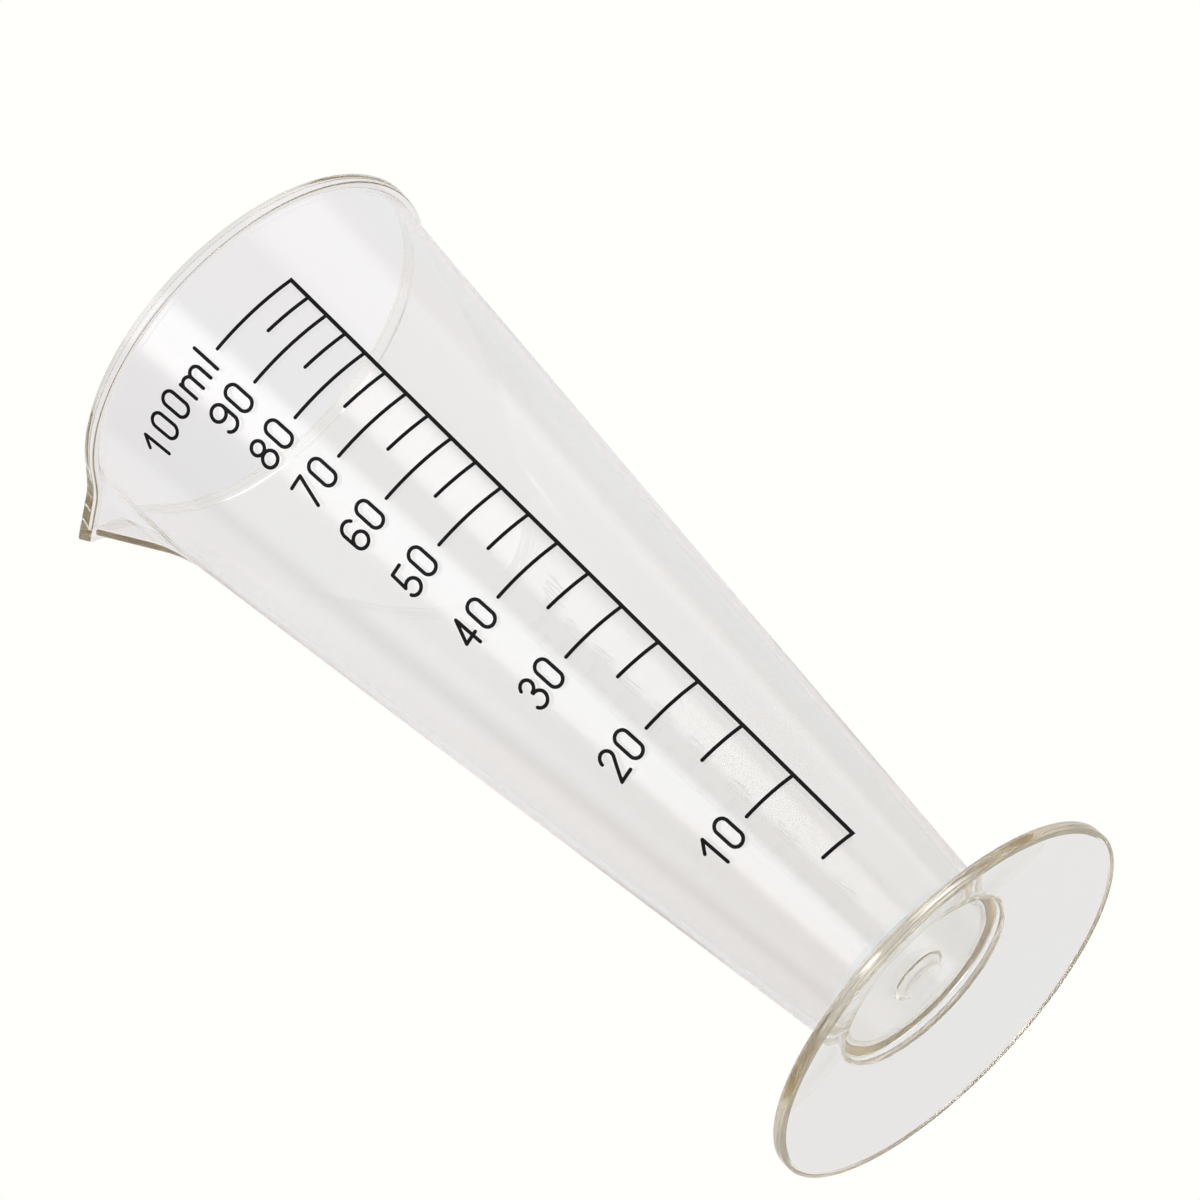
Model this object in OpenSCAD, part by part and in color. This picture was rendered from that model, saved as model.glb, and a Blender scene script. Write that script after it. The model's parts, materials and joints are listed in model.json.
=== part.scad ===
// Conical measure: a clear moulded cup on a dished foot, with a pouring lip and a printed volume scale.
// The origin is the centre of the ring that the foot stands on, and +Z goes up through the mouth.
// The pouring lip points along -X, and the printed scale faces -Y.

/* [Cup] */
// Outer diameter of the wall, carried down to the table plane
base_d = 22.94; // [20:0.02:28]
// Slope of the wall away from upright, in degrees
taper = 6.4; // [5:0.1:8]
// Thickness of the wall
wall = 1; // [0.8:0.05:1.2]
// Thickness of the floor
floor_t = 1.35; // [0.9:0.05:1.8]
// Radius of the inside corner between the floor and the wall
floor_round = 1.5; // [0.8:0.1:2.5]
// Height of the rim above the top mark
brim = 9.9; // [6:0.1:14]

/* [Foot] */
// Diameter of the foot
foot_d = 50.8; // [42:0.2:62]
// Thickness of the foot at its edge
foot_edge = 1.4; // [1.1:0.05:2]
// Radius of the foot's upper edge
foot_round = 0.6; // [0.3:0.05:0.9]
// Width of the flat ring that the foot stands on
land_w = 0.8; // [0.5:0.05:1.5]
// Height that the foot's underside rises from the flat ring to the recess
dish_h = 3.9; // [3:0.1:5]
// Diameter of the round recess under the floor, at its edge
recess_d = 24.2; // [21:0.1:24.6]
// Diameter of the same recess at the top of its steep side
recess_side_d = 23.7; // [21:0.1:24.4]
// Height of that steep side
recess_side_h = 0.85; // [0.6:0.05:1]
// Diameter of the flat middle of the recess
recess_top_d = 20.6; // [17:0.1:20.8]
// Depth of the recess at its middle
recess_depth = 1.1; // [1.1:0.1:1.8]
// Diameter of the stub that the moulding's feed left in the middle of the recess, at its end
gate_d = 5; // [3:0.1:7]
// Diameter of the same stub at its root
gate_root_d = 7; // [5:0.1:9]
// Length of that stub
gate_len = 1; // [0.8:0.1:3]
// Radius of the fillet where the foot meets the wall
root_round = 1.2; // [0.8:0.1:3]

/* [Rim and lip] */
// Height of the collar around the rim
rim_h = 1.45; // [1:0.05:2]
// How far the collar stands out from the wall
rim_out = 0.82; // [0.6:0.02:1]
// Distance from the axis to the tip of the lip
lip_reach = 31.1; // [29.5:0.1:33]
// Half of the angle between the lip's two sides, seen from above, in degrees
lip_half_angle = 50; // [42:1:55]
// Slope of the lip's keel away from upright, in degrees
keel_slope = 27; // [20:1:30]
// Radius of the lip's keel
lip_round = 1.3; // [1.3:0.1:2.5]
// Radius that the collar bends around the keel with
collar_round = 1.1; // [0.9:0.05:1.2]

/* [Scale] */
// Volume between one mark and the next, in millilitres
mark_step = 5; // [4:0.5:6]
// Direction that the middle of the print faces, in degrees from +X
print_az = -76.15; // [-90:0.05:-60]
// Distance from the print's middle plane to the upright line
line_offset = 3.74; // [2:0.02:6]
// Width of the upright line
line_w = 0.5; // [0.3:0.02:0.8]
// Width of the marks
mark_w = 0.42; // [0.3:0.02:0.7]
// Sweep of the long marks, in degrees
long_sweep = 28.3; // [20:0.1:36]
// Length of the short marks
short_len = 6.2; // [4:0.1:8]
// Length of the lowest mark
first_len = 4.45; // [3:0.05:6]
// Thickness of the ink
ink_t = 0.08; // [0.05:0.01:0.15]

/* [Numerals] */
// Height of a numeral
digit_h = 4.32; // [3:0.02:5]
// Width of a numeral
digit_w = 2.25; // [1.8:0.05:2.6]
// Width of the pen stroke
stroke = 0.43; // [0.3:0.01:0.6]
// Distance from one numeral's middle to the next
digit_pitch = 2.98; // [2.7:0.02:3.4]
// The same distance in the number at the top mark
top_pitch = 3.15; // [2.7:0.05:3.6]
// Gap between a long mark and the numeral beside it
digit_gap = 1.53; // [1:0.01:3]
// Height of a numeral's middle above its mark
digit_rise = 0.35; // [0:0.05:0.8]

/* [Hidden] */
$fn = 96;

clear_plastic = [0.93, 0.95, 0.95, 0.45];
ink_black = [0.03, 0.03, 0.03];
// How far a cutting shape runs past what it cuts
past = 2;
UL_PER_ML = 1000;

// Wall: its radius grows by `rise` for each millimetre of height
rise = tan(taper);
function wall_r(z) = base_d / 2 + rise * z;
// The wall is measured square to its surface, so its level thickness is a little more
level_wall = wall / cos(taper);
function inner_r(z) = wall_r(z) - level_wall;

// Heights of the foot's underside, the recess and the floor
recess_z = dish_h + recess_depth;
floor_z = recess_z + floor_t;

// A mark stands where the cone holds its volume above the floor
function mark_z(ml) =
    (pow(3 * rise * ml * UL_PER_ML / PI + pow(inner_r(floor_z), 3), 1 / 3) - inner_r(0)) / rise;
LONG_MARKS = [2:2:20];
SHORT_MARKS = [3:2:19];
top_mark_z = mark_z(20 * mark_step);
first_mark_z = mark_z(mark_step);
cup_h = top_mark_z + brim;

// Foot: the underside is a cone, and the top runs parallel to it
foot_r = foot_d / 2;
land_r = foot_r - land_w;
dish_slope = atan2(dish_h, land_r - recess_d / 2);
foot_top_r = foot_r - foot_round;
function foot_top_z(r) = foot_edge + (foot_top_r - r) * tan(dish_slope);

// Fillet between the foot's top and the wall: its centre lies root_round from both lines
root_line_z = foot_top_z(0) + root_round / cos(dish_slope);
root_line_r = base_d / 2 + root_round / cos(taper);
root_r = (root_line_r + rise * root_line_z) / (1 + rise * tan(dish_slope));
root_z = root_line_z - root_r * tan(dish_slope);
root_on_wall = [root_r - root_round * cos(taper), root_z + root_round * sin(taper)];
root_on_foot = [root_r - root_round * sin(dish_slope), root_z - root_round * cos(dish_slope)];

// Inside corner: a circle that touches the floor and the inner wall
corner_z = floor_z + floor_round;
corner_r = inner_r(corner_z) - floor_round / cos(taper);
corner_on_wall = [corner_r + floor_round * cos(taper), corner_z - floor_round * sin(taper)];

// Collar: a flat band around the rim and the lip, with its outer face along the wall's slope
rim_low = cup_h - rim_h;

// Lip: a wedge with a round keel that leans out of the wall. Its section is drawn square to the
// keel, where the wedge is a little wider than seen from above.
wedge_half = atan(tan(lip_half_angle) / cos(keel_slope));
// The collar's nose is the tip of the lip
collar_nose = (collar_round - rim_out) / sin(wedge_half) - collar_round;
lip_apex = lip_reach + collar_nose / cos(keel_slope);
// A keel's circle is a hair larger than one that only touches its sides, so it crosses them cleanly
keel_swell = 1.002;
// The lip reaches inwards to this distance from the axis, where it is inside the wall on all sides
lip_root = 0.8 * wall_r(cup_h);
// The keel is long enough to end inside the cup
keel_depth = (lip_apex - inner_r(cup_h)) / (tan(keel_slope) - rise);
keel_len = (keel_depth + past) / cos(keel_slope);

// Filled outline of the cup's wall, collar, floor and foot, turned about the axis
module cup_outline() {
    difference() {
        polygon([
            [0, recess_z - gate_len],
            [gate_d / 2, recess_z - gate_len],
            [gate_root_d / 2, recess_z],
            [recess_top_d / 2, recess_z],
            [recess_side_d / 2, dish_h + recess_side_h],
            [recess_d / 2, dish_h],
            [land_r, 0],
            [foot_r, 0],
            [foot_r, foot_edge - foot_round],
            [foot_top_r, foot_edge],
            root_on_foot,
            root_on_wall,
            [wall_r(rim_low), rim_low],
            [wall_r(rim_low) + rim_out, rim_low],
            [wall_r(cup_h + past) + rim_out, cup_h + past],
            [0, cup_h + past]
        ]);
        translate([root_r, root_z])
            circle(root_round);
    }
    translate([foot_top_r, foot_edge - foot_round])
        circle(foot_round);
}

// Space inside the wall, with its rounded bottom corner
module cavity_outline() {
    polygon([
        [0, floor_z],
        [corner_r, floor_z],
        corner_on_wall,
        [inner_r(cup_h + 2 * past), cup_h + 2 * past],
        [0, cup_h + 2 * past]
    ]);
    translate([corner_r, corner_z])
        circle(floor_round);
}

// Section of the lip's wedge: the radius of its keel, and how far its sides stand out from the wall's
module keel_section(round_r, out) {
    middle = [(round_r - out) / sin(wedge_half), 0];
    left = round_r * [-sin(wedge_half), cos(wedge_half)];
    right = [left[0], -left[1]];
    run = lip_reach * [cos(wedge_half), sin(wedge_half)];
    polygon([middle + right, middle + right + [run[0], -run[1]], middle + left + run, middle + left]);
    translate(middle)
        circle(keel_swell * round_r);
}

// The part of a wedge that lies towards the lip, above a height
module lip(round_r, out, root, low) {
    intersection() {
        translate([-lip_apex, 0, cup_h])
            rotate([0, -keel_slope, 0])
                translate([0, 0, -keel_len])
                    linear_extrude(keel_len + past)
                        keel_section(round_r, out);
        translate([-lip_reach - past, -lip_reach, low])
            cube([lip_reach + past - root, 2 * lip_reach, cup_h + past - low]);
    }
}

module cup_body() {
    color(clear_plastic)
        difference() {
            union() {
                rotate_extrude()
                    cup_outline();
                lip(lip_round, 0, lip_root, 0);
                lip(collar_round, rim_out, lip_root, rim_low);
            }
            rotate_extrude()
                cavity_outline();
            lip(lip_round - wall, -wall, lip_root - past / 4, 0);
            translate([-foot_d, -foot_d, cup_h])
                cube([2 * foot_d, 2 * foot_d, 2 * past]);
        }
}

// Print: a thin shell on the wall, cut to the shape of each line, mark and numeral
module ink_shell(low, high) {
    rotate_extrude()
        polygon([
            [wall_r(low), low],
            [wall_r(low) + ink_t, low],
            [wall_r(high) + ink_t, high],
            [wall_r(high), high]
        ]);
}

// The upright line lies in a plane beside the print's middle plane
function line_az(z) = print_az + asin(line_offset / wall_r(z));

module line_plane(left, right, low, high) {
    rotate([0, 0, print_az])
        translate([0, line_offset + left, low])
            cube([foot_d, right - left, high - low]);
}

module scale_line() {
    color(ink_black)
        intersection() {
            ink_shell(first_mark_z - past, top_mark_z + past);
            line_plane(-line_w / 2, line_w / 2, first_mark_z - mark_w / 2, top_mark_z + mark_w / 2);
        }
}

// A mark runs level from the line to the left, and its free end is round
module mark(z, sweep) {
    rotate([0, 0, line_az(z) - sweep]) {
        rotate_extrude(angle = sweep)
            translate([wall_r(z) - past, z - mark_w / 2])
                square([2 * past, mark_w]);
        translate([wall_r(z) - past, 0, z])
            rotate([0, 90, 0])
                cylinder(h = 2 * past, d = mark_w);
    }
}

// Marks end flat against the left side of the upright line
module trimmed_marks() {
    color(ink_black)
        intersection() {
            ink_shell(first_mark_z - past, top_mark_z + past);
            difference() {
                union()
                    children();
                line_plane(-line_w / 2, past * line_w, 0, cup_h);
            }
        }
}

function arc_sweep(len, z) = len / wall_r(z) * 180 / PI;

module marks_long() {
    trimmed_marks()
        for (i = LONG_MARKS)
            mark(mark_z(i * mark_step), long_sweep);
}

module marks_short() {
    trimmed_marks() {
        mark(first_mark_z, arc_sweep(first_len, first_mark_z));
        for (i = SHORT_MARKS)
            mark(mark_z(i * mark_step), arc_sweep(short_len, mark_z(i * mark_step)));
    }
}

// Numerals are drawn with a round pen; pen_x and pen_y are where its middle may reach
pen_x = (digit_w - stroke) / 2;
pen_y = (digit_h - stroke) / 2;
small_r = 0.95 * pen_x;
bowl_r = 1.1 * pen_x;

// A straight stroke with round ends
module pen_line(from, to) {
    run = to - from;
    translate(from) {
        circle(d = stroke);
        rotate(atan2(run[1], run[0]))
            translate([0, -stroke / 2])
                square([norm(run), stroke]);
    }
    translate(to)
        circle(d = stroke);
}

// A round stroke, anticlockwise between two angles
module pen_arc(centre, r, from, to) {
    reach = 3 * r;
    middle = (from + to) / 2;
    translate(centre) {
        intersection() {
            difference() {
                circle(r + stroke / 2);
                circle(r - stroke / 2);
            }
            if (to - from < 360)
                polygon(concat(
                    [[0, 0]],
                    [for (a = [from, (from + middle) / 2, middle, (middle + to) / 2, to])
                        reach * [cos(a), sin(a)]]
                ));
        }
        if (to - from < 360)
            for (a = [from, to])
                translate(r * [cos(a), sin(a)])
                    circle(d = stroke);
    }
}

module digit_0() {
    for (side = [-1, 1]) {
        pen_arc([0, side * (pen_y - pen_x)], pen_x, 90 * (1 - side), 90 * (3 - side));
        pen_line([side * pen_x, pen_x - pen_y], [side * pen_x, pen_y - pen_x]);
    }
}

module digit_1() {
    stem = 0.45 * pen_x;
    pen_line([stem, -pen_y], [stem, pen_y]);
    pen_line([-0.8 * pen_x, pen_y - 1.3 * pen_x], [stem, pen_y]);
}

module digit_2() {
    top = [0, pen_y - pen_x];
    foot = [-pen_x, -pen_y];
    away = foot - top;
    leave = atan2(away[1], away[0]) + acos(pen_x / norm(away));
    pen_arc(top, pen_x, leave, 175);
    pen_line(top + pen_x * [cos(leave), sin(leave)], foot);
    pen_line(foot, [pen_x, -pen_y]);
}

module digit_3() {
    pen_arc([0, pen_y - small_r], small_r, -90, 160);
    pen_arc([0, bowl_r - pen_y], bowl_r, -160, 90);
}

module digit_4() {
    stem = 0.45 * pen_x;
    bar = -0.38 * pen_y;
    pen_line([stem, -pen_y], [stem, pen_y]);
    pen_line([-pen_x, bar], [stem, pen_y]);
    pen_line([-pen_x, bar], [pen_x, bar]);
}

module digit_5() {
    shoulder = 0.7 * pen_x;
    start = 140;
    bowl = [0, bowl_r - pen_y];
    pen_arc(bowl, bowl_r, -160, start);
    pen_line(bowl + bowl_r * [cos(start), sin(start)], [-shoulder, pen_y]);
    pen_line([-shoulder, pen_y], [0.9 * pen_x, pen_y]);
}

module digit_6() {
    pen_arc([0, bowl_r - pen_y], bowl_r, 0, 360);
    pen_arc([0, pen_y - bowl_r], bowl_r, 25, 180);
    pen_line([-bowl_r, bowl_r - pen_y], [-bowl_r, pen_y - bowl_r]);
}

module digit_7() {
    pen_line([-pen_x, pen_y], [pen_x, pen_y]);
    pen_line([pen_x, pen_y], [-0.35 * pen_x, -pen_y]);
}

module digit_8() {
    pen_arc([0, pen_y - small_r], small_r, 0, 360);
    pen_arc([0, bowl_r - pen_y], bowl_r, 0, 360);
}

module digit_9() {
    rotate(180)
        digit_6();
}

module letter_l() {
    pen_line([0, -pen_y], [0, pen_y]);
}

// The letter m: three stems under two round shoulders
letter_m_w = 1.55 * digit_w;
letter_m_h = 0.72 * digit_h;
shoulder_r = (letter_m_w - stroke) / 4;
module letter_m() {
    shoulder_y = letter_m_h - stroke - pen_y - shoulder_r;
    pen_line([-2 * shoulder_r, -pen_y], [-2 * shoulder_r, shoulder_y + shoulder_r]);
    for (side = [-1, 1]) {
        pen_arc([side * shoulder_r, shoulder_y], shoulder_r, 0, 180);
        pen_line([(side + 1) * shoulder_r, -pen_y], [(side + 1) * shoulder_r, shoulder_y]);
    }
}

module digit(n) {
    if (n == 0) digit_0();
    if (n == 1) digit_1();
    if (n == 2) digit_2();
    if (n == 3) digit_3();
    if (n == 4) digit_4();
    if (n == 5) digit_5();
    if (n == 6) digit_6();
    if (n == 7) digit_7();
    if (n == 8) digit_8();
    if (n == 9) digit_9();
}

// Prints a flat shape on the wall beside the mark at height z, a distance left of the mark's end
module on_wall(z, left) {
    az = line_az(z) - long_sweep - arc_sweep(left, z);
    intersection() {
        ink_shell(z - digit_h, z + digit_h);
        rotate([0, 0, az])
            translate([wall_r(z) - past, 0, z + digit_rise])
                rotate([90, 0, 90])
                    linear_extrude(2 * past)
                        children();
    }
}

// A numeral stands beside its long mark
first_left = digit_gap + digit_w / 2;
module numeral(tens) {
    z = mark_z(2 * tens * mark_step);
    color(ink_black) {
        on_wall(z, first_left)
            digit_0();
        on_wall(z, first_left + digit_pitch)
            digit(tens);
    }
}

module numeral_10() {
    numeral(1);
}

module numeral_20() {
    numeral(2);
}

module numeral_30() {
    numeral(3);
}

module numeral_40() {
    numeral(4);
}

module numeral_50() {
    numeral(5);
}

module numeral_60() {
    numeral(6);
}

module numeral_70() {
    numeral(7);
}

module numeral_80() {
    numeral(8);
}

module numeral_90() {
    numeral(9);
}

// At the top mark the unit stands between the mark and the number
letter_gap = 0.9;
letter_l_left = digit_gap + stroke / 2;
letter_m_left = letter_l_left + stroke / 2 + letter_gap + letter_m_w / 2;
hundred_left = letter_m_left + letter_m_w / 2 + letter_gap + digit_w / 2;

module unit_ml() {
    color(ink_black) {
        on_wall(top_mark_z, letter_l_left)
            letter_l();
        on_wall(top_mark_z, letter_m_left)
            letter_m();
    }
}

module numeral_100() {
    color(ink_black)
        for (place = [0:2])
            on_wall(top_mark_z, hundred_left + place * top_pitch)
                digit(place == 2 ? 1 : 0);
}

cup_body();
scale_line();
marks_long();
marks_short();
numeral_10();
numeral_20();
numeral_30();
numeral_40();
numeral_50();
numeral_60();
numeral_70();
numeral_80();
numeral_90();
numeral_100();
unit_ml();
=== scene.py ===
# %% [markdown]
# # A clear measuring cup
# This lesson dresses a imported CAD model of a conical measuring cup. The real cup is one clear
# moulding with a black volume scale printed on it. The CAD model fixes every size and place.
# First the fixed model is loaded; nothing in it may be moved or reshaped afterwards.

# %% Load the fixed model
import json
import math

import bpy
import numpy as np
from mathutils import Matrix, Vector

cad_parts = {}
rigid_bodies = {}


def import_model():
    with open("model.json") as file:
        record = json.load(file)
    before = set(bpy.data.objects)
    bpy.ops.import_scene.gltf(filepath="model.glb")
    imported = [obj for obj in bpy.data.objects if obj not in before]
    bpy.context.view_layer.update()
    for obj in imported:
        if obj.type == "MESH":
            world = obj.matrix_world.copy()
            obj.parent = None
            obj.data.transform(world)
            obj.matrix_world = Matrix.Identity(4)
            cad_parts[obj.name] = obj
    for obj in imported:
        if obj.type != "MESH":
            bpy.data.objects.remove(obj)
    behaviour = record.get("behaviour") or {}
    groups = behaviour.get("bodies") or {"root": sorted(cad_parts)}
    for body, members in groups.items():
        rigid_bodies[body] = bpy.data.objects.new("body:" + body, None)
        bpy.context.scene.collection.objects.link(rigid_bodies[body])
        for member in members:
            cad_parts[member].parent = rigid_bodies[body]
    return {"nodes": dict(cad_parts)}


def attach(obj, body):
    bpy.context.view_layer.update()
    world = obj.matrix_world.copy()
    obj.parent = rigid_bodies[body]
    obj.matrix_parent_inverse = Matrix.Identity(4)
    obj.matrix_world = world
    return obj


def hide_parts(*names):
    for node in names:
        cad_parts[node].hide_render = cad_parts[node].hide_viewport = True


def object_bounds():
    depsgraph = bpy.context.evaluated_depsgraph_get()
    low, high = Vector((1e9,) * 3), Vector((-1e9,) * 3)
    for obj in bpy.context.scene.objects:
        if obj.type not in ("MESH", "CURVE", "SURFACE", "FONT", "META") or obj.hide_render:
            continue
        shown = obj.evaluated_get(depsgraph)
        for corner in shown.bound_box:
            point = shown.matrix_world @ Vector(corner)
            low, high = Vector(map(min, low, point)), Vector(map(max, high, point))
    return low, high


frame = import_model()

cad_low, cad_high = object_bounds()
print("CAD box in mm:", [round(1000 * v, 1) for v in (*cad_low, *cad_high)])

# %% [markdown]
# ## The camera
# The camera comes first, because it shows which parts of the cup need the finest work. It stands
# low and a long way off, rolled over to one side, so the cup seems to lie across the picture and
# its dished underside shows. Its place and turn were worked out from the cup's own outlines.
#
# Blender works in metres and the cup is drawn in millimetres, so one constant turns one into the
# other.

# %% Camera
MM = 0.001
CAMERA_AT = Vector((14.945, -570.734, -201.288)) * MM
CAMERA_TURN = [math.radians(a) for a in (124.34004, 41.45172, 25.1997)]
CAMERA_LENS = 163.095
CAMERA_SENSOR = 36.0

camera_data = bpy.data.cameras.new("camera")
camera_data.lens = CAMERA_LENS
camera_data.sensor_width = CAMERA_SENSOR
camera = bpy.data.objects.new("camera", camera_data)
camera.location = CAMERA_AT
camera.rotation_euler = CAMERA_TURN
bpy.context.scene.collection.objects.link(camera)
bpy.context.scene.camera = camera
bpy.context.scene.view_settings.view_transform = "Standard"
print("camera lens", CAMERA_LENS, "mm")

# %% [markdown]
# Light that enters the edge of a clear plate bounces along inside it many times before it gets out.
# With the usual limits such paths end early and leave black lines, so the limits are raised.

# %% Bounces
LIGHT_BOUNCES = 96
cycles = bpy.context.scene.cycles
cycles.max_bounces = cycles.glossy_bounces = cycles.transmission_bounces = LIGHT_BOUNCES
print("light bounces", cycles.max_bounces)

# %% [markdown]
# ## The clear body
# The real cup is moulded in one shot: a conical wall, a floor, a dished foot, a flat collar
# around the rim and a pouring lip. A lathe shape suits all of it but the lip. So the outline of
# one side is drawn first, as a chain of points, and then spun about the axis.
#
# These are the sizes of the wall and the foot in the CAD model, in millimetres.

# %% Sizes of the wall and the foot
TAPER = math.radians(6.4)
RISE = math.tan(TAPER)
BASE_R = 22.94 / 2
WALL = 1.0
CUP_H = cad_high.z / MM
FLOOR_Z = 6.35
FLOOR_ROUND = 1.5
FOOT_R = 50.8 / 2
FOOT_EDGE = 1.4
FOOT_TOP_R = FOOT_R - 0.6
LAND_R = FOOT_R - 0.8
DISH_H = 3.9


def wall_r(z):
    """Radius of the wall's outer face at a height."""
    return BASE_R + RISE * z


def inner_r(z):
    """Radius of the wall's inner face at a height."""
    return wall_r(z) - WALL / math.cos(TAPER)


print("cup height", round(CUP_H, 2), "mm, mouth", round(2 * wall_r(CUP_H), 1), "mm")

# %% [markdown]
# Under the floor is a round recess, and in its middle stands the stub that the feed of the mould
# left. The foot's top runs parallel to its dished underside, which tells where it meets the wall.

# %% Sizes of the recess, the stub and the foot's root
RECESS_R = 24.2 / 2
RECESS_SIDE_R = RECESS_R - 0.2
RECESS_SIDE_H = 0.85
RECESS_TOP_R = 20.6 / 2
RECESS_Z = 5.0
GATE_R = 5.0 / 2
GATE_ROOT_R = 7.0 / 2
GATE_Z = RECESS_Z - 1.0

dish_rise = DISH_H / (LAND_R - RECESS_R)
root_z = (FOOT_EDGE + (FOOT_TOP_R - BASE_R) * dish_rise) / (1 + RISE * dish_rise)
print("foot meets wall at", round(root_z, 2), "mm")

# %% [markdown]
# Clear plastic shows every crease, because light bends at each face. So each corner of the outline
# is a small arc of its own, and close to each corner the straight parts get an extra point, which
# keeps the smooth shading of the arc from spreading over the straight part.

# %% Rounded corners
HOLD = 0.12


def rounded(corners):
    """Points along a chain of (radius, height, corner radius, steps), with arcs at its corners and
    a holding point beside each arc."""
    chain = []
    for i, (x, y, r, steps) in enumerate(corners):
        here = np.array((x, y), float)
        if r == 0:
            chain.append(here)
            continue
        before = np.array(corners[i - 1][:2], float) - here
        after = np.array(corners[i + 1][:2], float) - here
        a, b = before / np.linalg.norm(before), after / np.linalg.norm(after)
        half = math.acos(np.clip(a @ b, -1, 1)) / 2
        reach = r / math.tan(half)
        middle = here + (a + b) / np.linalg.norm(a + b) * r / math.sin(half)
        start, end = here + a * reach - middle, here + b * reach - middle
        sweep = math.atan2(start[0] * end[1] - start[1] * end[0], start @ end)
        chain.append(here + a * (reach + HOLD))
        for k in range(steps + 1):
            t = sweep * k / steps
            turned = (start[0] * math.cos(t) - start[1] * math.sin(t),
                      start[0] * math.sin(t) + start[1] * math.cos(t))
            chain.append(middle + turned)
        chain.append(here + b * (reach + HOLD))
    return chain


print("holding points", HOLD, "mm from each arc")

# %% [markdown]
# The first chain runs from the axis outwards under the foot, around its edge and up to the wall.
# Where two faces of the mould met, the edge is crisp; where the mould was rounded, it is softer.

# %% Underside, foot and root
STUB_EDGE, STUB_ROOT = 0.25, 0.8
RECESS_TOP_ROUND, RECESS_COVE, RECESS_EDGE = 0.1, 0.8, 0.06
LAND_INNER, LAND_OUTER, FOOT_ROUND, ROOT_ROUND = 0.12, 0.1, 0.55, 1.2

underside = rounded([
    (0, GATE_Z, 0, 0),
    (GATE_R, GATE_Z, STUB_EDGE, 5),
    (GATE_ROOT_R, RECESS_Z, STUB_ROOT, 8),
    (RECESS_TOP_R, RECESS_Z, RECESS_TOP_ROUND, 4),
    (RECESS_SIDE_R, DISH_H + RECESS_SIDE_H, RECESS_COVE, 12),
    (RECESS_R, DISH_H, RECESS_EDGE, 3),
    (LAND_R, 0, LAND_INNER, 3),
    (FOOT_R, 0, LAND_OUTER, 3),
    (FOOT_R, FOOT_EDGE, FOOT_ROUND, 8),
    (wall_r(root_z), root_z, ROOT_ROUND, 14),
    (wall_r(CUP_H), CUP_H, 0, 0),
])[:-1]
print("points under and around the foot:", len(underside))

# %% [markdown]
# The next chain is the rim with its flat collar. Its first and last corners only give the
# directions of the wall, so they are cut off again.

# %% Rim and collar
RIM_LOW = CUP_H - 1.45
RIM_OUT = 0.82
COLLAR_ROOT, COLLAR_LOWER, RIM_EDGE = 0.08, 0.25, 0.06
ALONG = 5.0

rim = rounded([
    (wall_r(RIM_LOW - ALONG), RIM_LOW - ALONG, 0, 0),
    (wall_r(RIM_LOW), RIM_LOW, COLLAR_ROOT, 3),
    (wall_r(RIM_LOW) + RIM_OUT, RIM_LOW, COLLAR_LOWER, 6),
    (wall_r(CUP_H) + RIM_OUT, CUP_H, RIM_EDGE, 3),
    (inner_r(CUP_H), CUP_H, RIM_EDGE, 3),
    (inner_r(CUP_H - ALONG), CUP_H - ALONG, 0, 0),
])[1:-1]
print("points around the rim:", len(rim))

# %% [markdown]
# Between foot and rim the wall is straight and needs few rows of points, but the lip is going to be
# pulled out of its top part, so the rows are close together there, outside and inside.

# %% Wall and floor
LIP_LOW = CUP_H - 17
LIP_ROWS = 48
ROW_STEP = 4.0
UNDER_COLLAR, UNDER_RIM = 0.4, 0.8
FLOOR_TURN_Z = 12

outer_rows = list(np.arange(underside[-1][1] + ROW_STEP, LIP_LOW, ROW_STEP))
outer_rows += list(np.linspace(LIP_LOW, RIM_LOW - UNDER_COLLAR, LIP_ROWS))
outer_wall = [np.array((wall_r(z), z)) for z in outer_rows]
inner_rows = list(np.linspace(CUP_H - UNDER_RIM, LIP_LOW, LIP_ROWS))
inner_rows += list(np.arange(LIP_LOW - ROW_STEP, FLOOR_TURN_Z, -ROW_STEP))
inner_wall = [np.array((inner_r(z), z)) for z in inner_rows]
floor_corner = rounded([
    (inner_r(FLOOR_TURN_Z), FLOOR_TURN_Z, 0, 0),
    (inner_r(FLOOR_Z), FLOOR_Z, FLOOR_ROUND, 10),
    (0, FLOOR_Z, 0, 0),
])
outline = underside + outer_wall + rim + inner_wall + floor_corner
print("outline points:", len(outline))

# %% [markdown]
# A circle with as many corners as the outline has points is the start. Each corner is pulled to
# its place on the outline, and the edge that closes it along the axis is cut away.

# %% Draw the outline


def deselect_all():
    """Leaves edit mode and drops the selection, because operators act on all that is selected."""
    if bpy.context.object and bpy.context.object.mode != "OBJECT":
        bpy.ops.object.mode_set(mode="OBJECT")
    bpy.ops.object.select_all(action="DESELECT")


deselect_all()
bpy.ops.mesh.primitive_circle_add(vertices=len(outline), radius=CUP_H * MM)
body = bpy.context.object
body.name = "clear_body"
for vertex, (x, z) in zip(body.data.vertices, outline):
    vertex.co = (-x * MM, 0, z * MM)
bpy.ops.object.mode_set(mode="EDIT")
bpy.ops.mesh.select_mode(type="EDGE")
bpy.ops.mesh.select_all(action="DESELECT")
bpy.ops.object.mode_set(mode="OBJECT")
for edge in body.data.edges:
    edge.select = set(edge.vertices) == {0, len(outline) - 1}
bpy.ops.object.mode_set(mode="EDIT")
bpy.ops.mesh.delete(type="EDGE_FACE")
bpy.ops.object.mode_set(mode="OBJECT")
print("outline edges:", len(body.data.edges))

# %% [markdown]
# A Screw modifier with no rise turns the chain through a full circle, as a lathe would; it is much
# quicker than the Spin tool for this many points. Merging the doubles closes the seam and both
# poles.

# %% Spin the outline
SPIN_STEPS = 360
MERGE = 0.002 * MM

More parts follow.
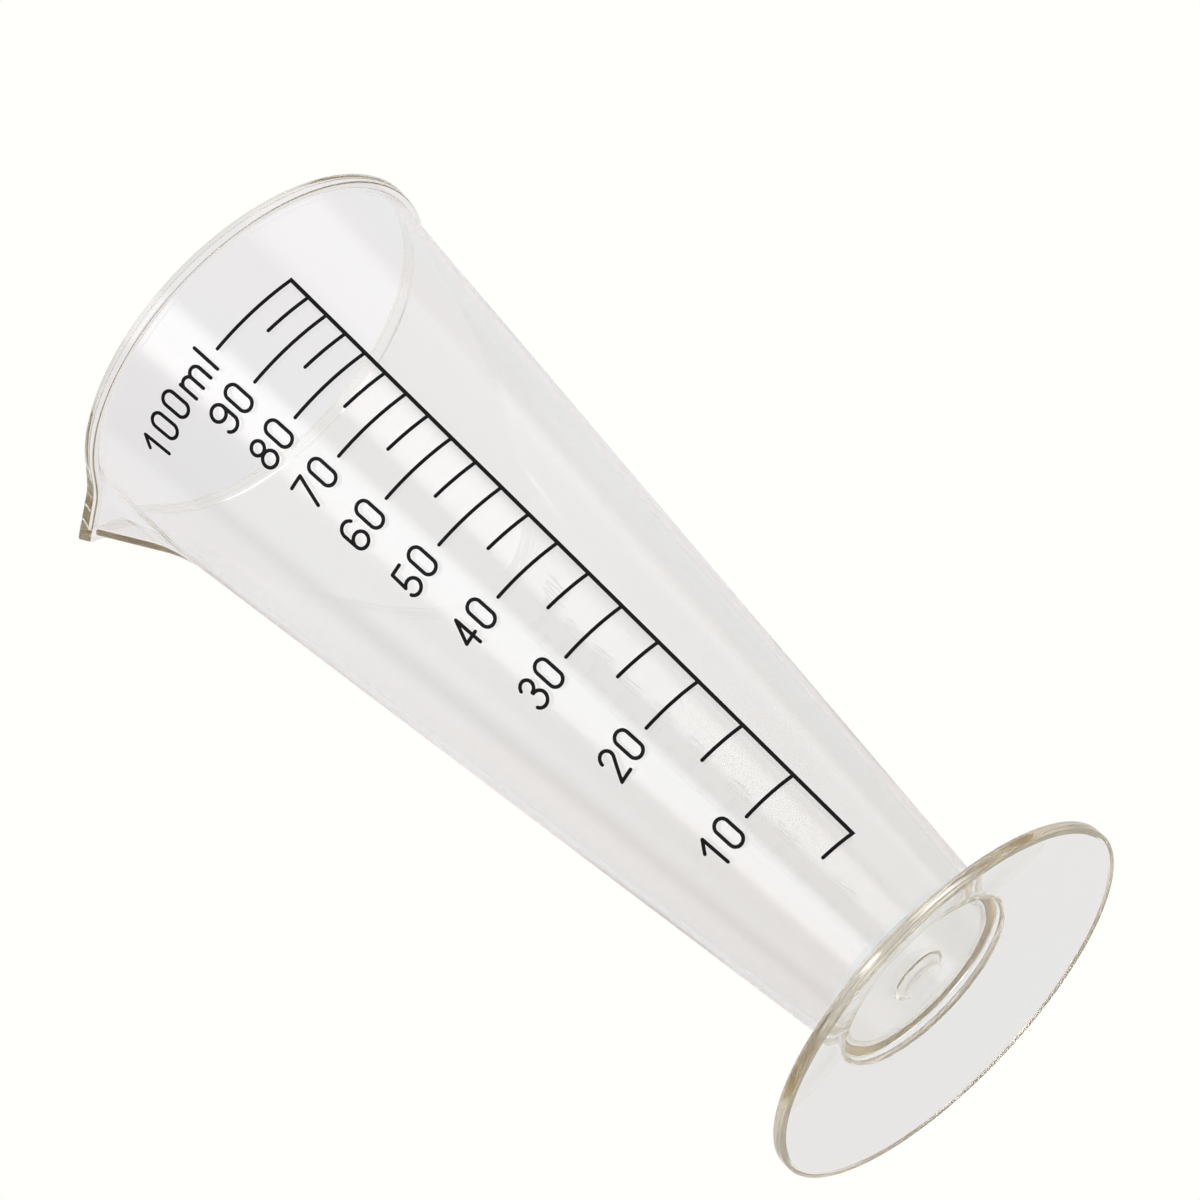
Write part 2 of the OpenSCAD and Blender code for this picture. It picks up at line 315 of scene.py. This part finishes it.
lathe = body.modifiers.new("lathe", "SCREW")
lathe.axis = "Z"
lathe.angle = math.tau
lathe.steps = lathe.render_steps = SPIN_STEPS
lathe.use_merge_vertices = True
lathe.merge_threshold = MERGE
bpy.ops.object.modifier_apply(modifier="lathe")
bpy.ops.object.mode_set(mode="EDIT")
bpy.ops.mesh.select_all(action="SELECT")
bpy.ops.mesh.remove_doubles(threshold=MERGE)
bpy.ops.mesh.normals_make_consistent(inside=False)
bpy.ops.object.mode_set(mode="OBJECT")
print("spun body:", len(body.data.vertices), "points,", len(body.data.polygons), "faces")

# %% [markdown]
# ## The pouring lip
# On the real cup the wall runs out into a flat-sided V with a small round keel. The lip is the
# union of two shapes: the wall's cone and a wedge that leans out of it, with a small radius where
# they meet. Each point of the wall and the collar is moved straight out from the axis until it
# lies as deep in that union as it lay in the wall, so the lip has an even wall and one skin,
# inside and out.
#
# First the columns of points are drawn closer together towards the lip, where the curves are
# tight.

# %% Draw the columns towards the lip
CROWD = 0.55

points = np.empty(len(body.data.vertices) * 3)
body.data.vertices.foreach_get("co", points)
points = points.reshape(-1, 3) / MM
height = points[:, 2]
radius = np.hypot(points[:, 0], points[:, 1])
turn = np.arctan2(points[:, 1], -points[:, 0])
turn -= CROWD * np.sin(turn)
print("closest columns", round(math.degrees(math.tau / SPIN_STEPS * (1 - CROWD)), 2), "degrees apart")

# %% [markdown]
# The wedge leans out at the keel's slope, and its section is drawn square to the keel. The collar
# bends around the keel with a larger radius than the wall, and its nose is the tip of the lip, so
# the apex of the wedge is worked out from there. To the sides the wedge fades away, which leaves
# the rest of the wall as it is.

# %% The lip's wedge
LIP_REACH = 31.1
LIP_HALF = math.radians(50)
KEEL = math.radians(27)
WEDGE_HALF = math.atan(math.tan(LIP_HALF) / math.cos(KEEL))
COLLAR_ROUND = 1.1
COLLAR_NOSE = (COLLAR_ROUND - RIM_OUT) / math.sin(WEDGE_HALF) - COLLAR_ROUND
LIP_APEX = LIP_REACH + COLLAR_NOSE / math.cos(KEEL)
FADE_FROM, FADE_TO = math.radians(28), math.radians(50)
FADE_BY = 6.0
BLEND = 1.1


def depth(x, y, z, keel_r):
    """Signed distance to the outer skin, in mm, less than zero inside."""
    to_wall = (np.hypot(x, y) - (BASE_R + RISE * z)) * math.cos(TAPER)
    inward = (x + LIP_APEX) * math.cos(KEEL) + (z - CUP_H) * math.sin(KEEL)
    inward = inward - keel_r / math.sin(WEDGE_HALF)
    across = np.abs(y)
    on_side = inward * math.cos(WEDGE_HALF) + across * math.sin(WEDGE_HALF) > 0
    to_side = across * math.cos(WEDGE_HALF) - inward * math.sin(WEDGE_HALF)
    to_lip = np.where(on_side, to_side, np.hypot(inward, across)) - keel_r
    away = np.abs(np.arctan2(y, -x))
    fade = np.clip((away - FADE_FROM) / (FADE_TO - FADE_FROM), 0, 1)
    to_lip = to_lip + FADE_BY * fade * fade * (3 - 2 * fade)
    near = np.maximum(BLEND - np.abs(to_wall - to_lip), 0) / BLEND
    return np.minimum(to_wall, to_lip) - near * near * BLEND / 4


print("apex of the wedge", round(LIP_APEX, 2), "mm from the axis")

# %% [markdown]
# How far out a point has to go is found by halving: the span between a place that lies too deep
# and one that doesn't is cut in two again and again. The keel's radius grows from the inner skin
# to the collar's outer face.

# %% Pull the lip out of the wall
KEEL_R_IN, KEEL_R_OUT, KEEL_R_RIM = 0.5, 0.9, 1.0
LIP_TURN = FADE_TO + 0.1
FAR_OUT = 40.0
HALVINGS = 40

held = (height > LIP_LOW) & (np.abs(turn) < LIP_TURN)
lip_z, lip_turn = height[held], turn[held]
skin_level = (radius[held] - (BASE_R + RISE * lip_z)) * math.cos(TAPER)
keel_r = np.interp(skin_level, [-WALL, 0, RIM_OUT], [KEEL_R_IN, KEEL_R_OUT, KEEL_R_RIM]) - skin_level
near_r, far_r = np.zeros(held.sum()), np.full(held.sum(), FAR_OUT)
for _ in range(HALVINGS):
    middle_r = (near_r + far_r) / 2
    found = depth(-middle_r * np.cos(lip_turn), middle_r * np.sin(lip_turn), lip_z, keel_r)
    inside = found < skin_level
    near_r = np.where(inside, middle_r, near_r)
    far_r = np.where(inside, far_r, middle_r)
radius[held] = (near_r + far_r) / 2
points = np.stack([-radius * np.cos(turn), radius * np.sin(turn), height], axis=1)
body.data.vertices.foreach_set("co", (points * MM).ravel())
body.data.update()
print("lip points moved:", int(held.sum()), "reach", round(-points[:, 0].min(), 2), "mm")

# %% [markdown]
# The normals are turned outwards once more, because the lip has moved faces, and the whole skin is
# shaded smooth: the holding points keep its flat parts flat.

# %% Smooth the skin
deselect_all()
bpy.context.view_layer.objects.active = body
body.select_set(True)
bpy.ops.object.mode_set(mode="EDIT")
bpy.ops.mesh.select_all(action="SELECT")
bpy.ops.mesh.normals_make_consistent(inside=False)
bpy.ops.object.mode_set(mode="OBJECT")
bpy.ops.object.shade_smooth()
print("smooth faces:", sum(face.use_smooth for face in body.data.polygons))

# %% [markdown]
# ## Building a material
# Colours are written as the sRGB hex values that a paint program shows, and Blender wants linear
# light, so one function turns them. Another adds a node and joins it up in one line, which keeps
# the materials short enough to read. The four after them make what every finish here is built of:
# a noise, a bump, a range of values and a mix of two colours.

# %% Colours and nodes


def linear(code):
    """An sRGB hex colour as linear red, green, blue and a full alpha."""
    parts = [int(code[i:i + 2], 16) / 255 for i in (1, 3, 5)]
    return [p / 12.92 if p <= 0.04045 else ((p + 0.055) / 1.055) ** 2.4 for p in parts] + [1.0]


def add_node(tree, kind, inputs=(), **settings):
    """Adds a shader node. A setting that starts with a capital letter sets that socket. Inputs come
    as (socket, value), where the value may be another node's output, which is then linked."""
    made = tree.nodes.new(kind)
    for name, value in settings.items():
        if name[0].islower():
            setattr(made, name, value)
        else:
            made.inputs[name.replace("_", " ")].default_value = value
    for name, source in inputs:
        if isinstance(source, bpy.types.NodeSocket):
            tree.links.new(source, made.inputs[name])
        else:
            made.inputs[name].default_value = source
    return made


def new_material(name):
    """An empty node material: the material, its tree, its output node and Object coordinates."""
    made = bpy.data.materials.new(name)
    made.use_nodes = True
    tree = made.node_tree
    tree.nodes.clear()
    output = tree.nodes.new("ShaderNodeOutputMaterial")
    return made, tree, output, tree.nodes.new("ShaderNodeTexCoord").outputs["Object"]


print("white is", linear("#FFFFFF"))

# %% Patterns


def noise(tree, place, scale, detail):
    """A noise from 0 to 1."""
    made = add_node(tree, "ShaderNodeTexNoise", [("Vector", place)], Scale=scale, Detail=detail)
    return made.outputs["Fac"]


def bump(tree, source, strength, distance):
    """A normal that is tilted by a pattern."""
    return add_node(tree, "ShaderNodeBump", [("Height", source)], Strength=strength,
                    Distance=distance).outputs["Normal"]


def spread(tree, source, low, high):
    """A pattern from 0 to 1, spread over another range."""
    return add_node(tree, "ShaderNodeMapRange", [("Value", source)], To_Min=low, To_Max=high).outputs[0]


def blend_colours(tree, source, first, second):
    """Two colours, mixed by a pattern from 0 to 1."""
    return add_node(tree, "ShaderNodeMix", [("Factor", source), (6, linear(first)), (7, linear(second))],
                    data_type="RGBA").outputs[2]


print("pattern helpers are ready")

# %% [markdown]
# ## Clear styrene plastic
# The body is clear styrene plastic, injection moulded in a polished mould. It bends light more
# than acrylic does, and it is very smooth. Flow marks from the mould run up the wall as long, low
# waves, so the noise is drawn out along the axis.
#
# The end of the feed stub was cut off, so it is a little rougher. A mask finds it by its distance
# from the axis and its height.

# %% Flow marks and the cut stub
MASK_EDGE = 0.1
styrene, tree, output, place = new_material("styrene_moulded_clear")
drawn = add_node(tree, "ShaderNodeMapping", [("Vector", place)], Scale=(90, 90, 30)).outputs[0]
waves = noise(tree, drawn, scale=1.0, detail=1.0)
level_part = add_node(tree, "ShaderNodeVectorMath", [(0, place), (1, (1, 1, 0))], operation="MULTIPLY")
from_axis = add_node(tree, "ShaderNodeVectorMath", [(0, level_part.outputs[0])], operation="LENGTH")
near_axis = add_node(tree, "ShaderNodeMapRange", [("Value", from_axis.outputs["Value"])],
                     From_Min=(GATE_R + MASK_EDGE) * MM, From_Max=(GATE_R - MASK_EDGE) * MM)
up = add_node(tree, "ShaderNodeSeparateXYZ", [("Vector", place)]).outputs["Z"]
below = add_node(tree, "ShaderNodeMapRange", [("Value", up)], From_Min=RECESS_Z * MM, From_Max=GATE_Z * MM)
cut_stub = add_node(tree, "ShaderNodeMath", [(0, near_axis.outputs[0]), (1, below.outputs[0])],
                    operation="MULTIPLY").outputs[0]
print("nodes so far:", len(tree.nodes))

# %% [markdown]
# Where the eye looks along the wall, a thick layer of plastic shows a warm tint, which the volume
# gives. A trace of translucent haze stands for fine scratches, and there is more of it on the
# foot, which is worn most. The haze also lets out some of the light that the edges trap.

# %% Clear plastic
POLISHED, SMEARED, CUT_ROUGHER = 0.004, 0.03, 0.05
WORN_Z, FRESH_Z = 10, 80
WORN_HAZE, FRESH_HAZE, CUT_HAZE = 0.05, 0.018, 0.01

smears = spread(tree, waves, POLISHED, SMEARED)
rough = add_node(tree, "ShaderNodeMath", [(0, cut_stub), (1, CUT_ROUGHER), (2, smears)],
                 operation="MULTIPLY_ADD")
flow = bump(tree, waves, strength=1.0, distance=0.05 * MM)
clear = add_node(tree, "ShaderNodeBsdfPrincipled", [("Roughness", rough.outputs[0]), ("Normal", flow)],
                 Base_Color=linear("#FEFEFD"), IOR=1.57, Transmission_Weight=1.0)
haze = add_node(tree, "ShaderNodeBsdfTranslucent", Color=linear("#F3E8CC"))
wear = add_node(tree, "ShaderNodeMapRange", [("Value", up)], From_Min=WORN_Z * MM, From_Max=FRESH_Z * MM,
                To_Min=WORN_HAZE, To_Max=FRESH_HAZE)
hazed = add_node(tree, "ShaderNodeMath", [(0, cut_stub), (1, CUT_HAZE), (2, wear.outputs[0])],
                 operation="MULTIPLY_ADD")
skin = add_node(tree, "ShaderNodeMixShader",
                [(0, hazed.outputs[0]), (1, clear.outputs["BSDF"]), (2, haze.outputs["BSDF"])])
tint = add_node(tree, "ShaderNodeVolumeAbsorption", Color=linear("#E6DCBE"), Density=24.0)
tree.links.new(skin.outputs[0], output.inputs["Surface"])
tree.links.new(tint.outputs["Volume"], output.inputs["Volume"])
print(styrene.name, "has", len(tree.nodes), "nodes")

# %% [markdown]
# The finished body takes the place of the CAD's plain one in the looks, and rides with it.

# %% Hand the body over
body.data.materials.clear()
body.data.materials.append(styrene)
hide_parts("cup_body")
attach(body, "root")
print(body.name, "replaces cup_body")

# %% [markdown]
# ## Printed ink
# The scale is screen printed with a black ink that dries to a satin finish. The mesh of the screen
# leaves a faint grain in it, and the film is a little thinner in some places than in others. The
# CAD's own marks and numerals are kept as they are and only get the ink.

# %% Printed ink
INK_SMOOTH, INK_ROUGH = 0.3, 0.5

ink, tree, output, place = new_material("screen_ink_black")
grain = noise(tree, place, scale=9000.0, detail=2.0)
cover = noise(tree, place, scale=700.0, detail=2.0)
black = blend_colours(tree, cover, "#050506", "#131315")
satin = spread(tree, grain, INK_SMOOTH, INK_ROUGH)
mesh_marks = bump(tree, grain, strength=0.5, distance=0.01 * MM)
film = add_node(tree, "ShaderNodeBsdfPrincipled",
                [("Base Color", black), ("Roughness", satin), ("Normal", mesh_marks)],
                Specular_IOR_Level=0.1)
tree.links.new(film.outputs["BSDF"], output.inputs["Surface"])

printed = [piece for name, piece in frame["nodes"].items() if name != "cup_body"]
for piece in printed:
    piece.data.materials.clear()
    piece.data.materials.append(ink)
print("printed pieces:", len(printed))

# %% [markdown]
# ## The studio
# A sheet of plain pale paper is the floor and carries the cup's shadow. It lies a hair under the
# foot, so that the two faces don't fight.

# %% Floor
FLOOR_SIZE = 4.0
FLOOR_DROP = 0.1 * MM

deselect_all()
bpy.ops.mesh.primitive_plane_add(size=FLOOR_SIZE, location=(0, 0, 0))
floor = bpy.context.object
floor.name = "floor"
for vertex in floor.data.vertices:
    vertex.co.z = -FLOOR_DROP
print("floor", FLOOR_SIZE, "m wide")

# %% [markdown]
# The paper has a fine tooth of fibres. A clear cup lets most of the light through, so part of the
# paper's brightness is given to it directly, which keeps the shadow pale. In the cup's faces the
# paper is seen evenly lit. From below it can't be seen, as the photo looks up at the foot.

# %% Paper
SHADOW_LIFT = 0.4

paper, tree, output, place = new_material("paper_matte_white")
fibres = noise(tree, place, scale=900.0, detail=3.0)
shades = blend_colours(tree, fibres, "#E9E9E6", "#F1F1EE")
tooth = bump(tree, fibres, strength=0.3, distance=0.05 * MM)
matte = add_node(tree, "ShaderNodeBsdfDiffuse", [("Color", shades), ("Normal", tooth)])
lit = add_node(tree, "ShaderNodeEmission", Color=linear("#ECEBEA"))
path = add_node(tree, "ShaderNodeLightPath").outputs
in_cup = add_node(tree, "ShaderNodeMath", [(0, path["Is Glossy Ray"]), (1, path["Is Transmission Ray"])],
                  operation="MAXIMUM")
given = add_node(tree, "ShaderNodeMath", [(0, in_cup.outputs[0]), (1, SHADOW_LIFT)], operation="MAXIMUM")
top = add_node(tree, "ShaderNodeMixShader",
               [(0, given.outputs[0]), (1, matte.outputs[0]), (2, lit.outputs[0])])
nothing = add_node(tree, "ShaderNodeBsdfTransparent")
side = add_node(tree, "ShaderNodeNewGeometry").outputs["Backfacing"]
sheet = add_node(tree, "ShaderNodeMixShader", [(0, side), (1, top.outputs[0]), (2, nothing.outputs[0])])
tree.links.new(sheet.outputs[0], output.inputs["Surface"])
floor.data.materials.append(paper)
print(paper.name, "has", len(tree.nodes), "nodes")

# %% [markdown]
# ## The room
# The camera sees plain white behind the cup. Everything else sees a soft, bright room with upright
# soft boxes in it, which show as long pale streaks on the wall. Each box is a part of the sky
# between two elevations, around one compass direction, with soft edges.

# %% Soft boxes
world = bpy.data.worlds.new("studio")
bpy.context.scene.world = world
world.use_nodes = True
tree = world.node_tree
tree.nodes.clear()
output = tree.nodes.new("ShaderNodeOutputWorld")
toward = add_node(tree, "ShaderNodeTexCoord").outputs["Generated"]
level = add_node(tree, "ShaderNodeVectorMath", [(0, toward), (1, (1, 1, 0))], operation="MULTIPLY")
heading = add_node(tree, "ShaderNodeVectorMath", [(0, level.outputs[0])], operation="NORMALIZE").outputs[0]
elevation = add_node(tree, "ShaderNodeSeparateXYZ", [("Vector", toward)]).outputs["Z"]


def smooth(source, zero, one):
    """A soft step from 0 at one value to 1 at another."""
    return add_node(tree, "ShaderNodeMapRange", [("Value", source)], interpolation_type="SMOOTHSTEP",
                    From_Min=zero, From_Max=one).outputs[0]


def combine(operation, first, second):
    """A maths node on an output and another output or a number."""
    return add_node(tree, "ShaderNodeMath", [(0, first), (1, second)], operation=operation).outputs[0]


END_EDGE = 0.15


def soft_box(azimuth, half_width, edge, low, high, strength):
    """Light of an upright soft box. Its azimuth, half width and soft edge are in degrees, and its
    low and high ends are sines of elevations."""
    middle = (math.cos(math.radians(azimuth)), math.sin(math.radians(azimuth)), 0)
    face = add_node(tree, "ShaderNodeVectorMath", [(0, heading), (1, middle)], operation="DOT_PRODUCT")
    wide = smooth(face.outputs["Value"], math.cos(math.radians(half_width + edge)),
                  math.cos(math.radians(half_width)))
    tall = combine("MULTIPLY", smooth(elevation, low - END_EDGE, low),
                   smooth(elevation, high + END_EDGE, high))
    return combine("MULTIPLY", combine("MULTIPLY", wide, tall), strength)


key = soft_box(azimuth=-115, half_width=7, edge=13, low=-0.4, high=0.75, strength=1.8)
fill = soft_box(azimuth=-20, half_width=12, edge=20, low=-0.2, high=0.8, strength=0.8)
shade = soft_box(azimuth=-160, half_width=16, edge=16, low=-0.5, high=0.7, strength=0.5)
print("nodes for the boxes:", len(tree.nodes))

# %% [markdown]
# The boxes are added to an even room light, and one dimmer stretch is taken out of it. A slow noise
# shifts the room between a cool and a warm white, as clear plastic picks both up in a real room.

# %% Room light and white background
ROOM_LIGHT = 0.88

light = combine("SUBTRACT", combine("ADD", combine("ADD", key, fill), ROOM_LIGHT), shade)
cloud = noise(tree, toward, scale=2.2, detail=1.0)
room_tint = blend_colours(tree, smooth(cloud, 0.35, 0.65), "#F7FCFF", "#FFF9FB")
room = add_node(tree, "ShaderNodeBackground", [("Color", room_tint), ("Strength", light)])
white = add_node(tree, "ShaderNodeBackground", Color=linear("#FFFFFB"), Strength=1.0)
seen = add_node(tree, "ShaderNodeLightPath").outputs["Is Camera Ray"]
sky = add_node(tree, "ShaderNodeMixShader", [(0, seen), (1, room.outputs[0]), (2, white.outputs[0])])
tree.links.new(sky.outputs[0], output.inputs["Surface"])
print("world nodes:", len(tree.nodes))
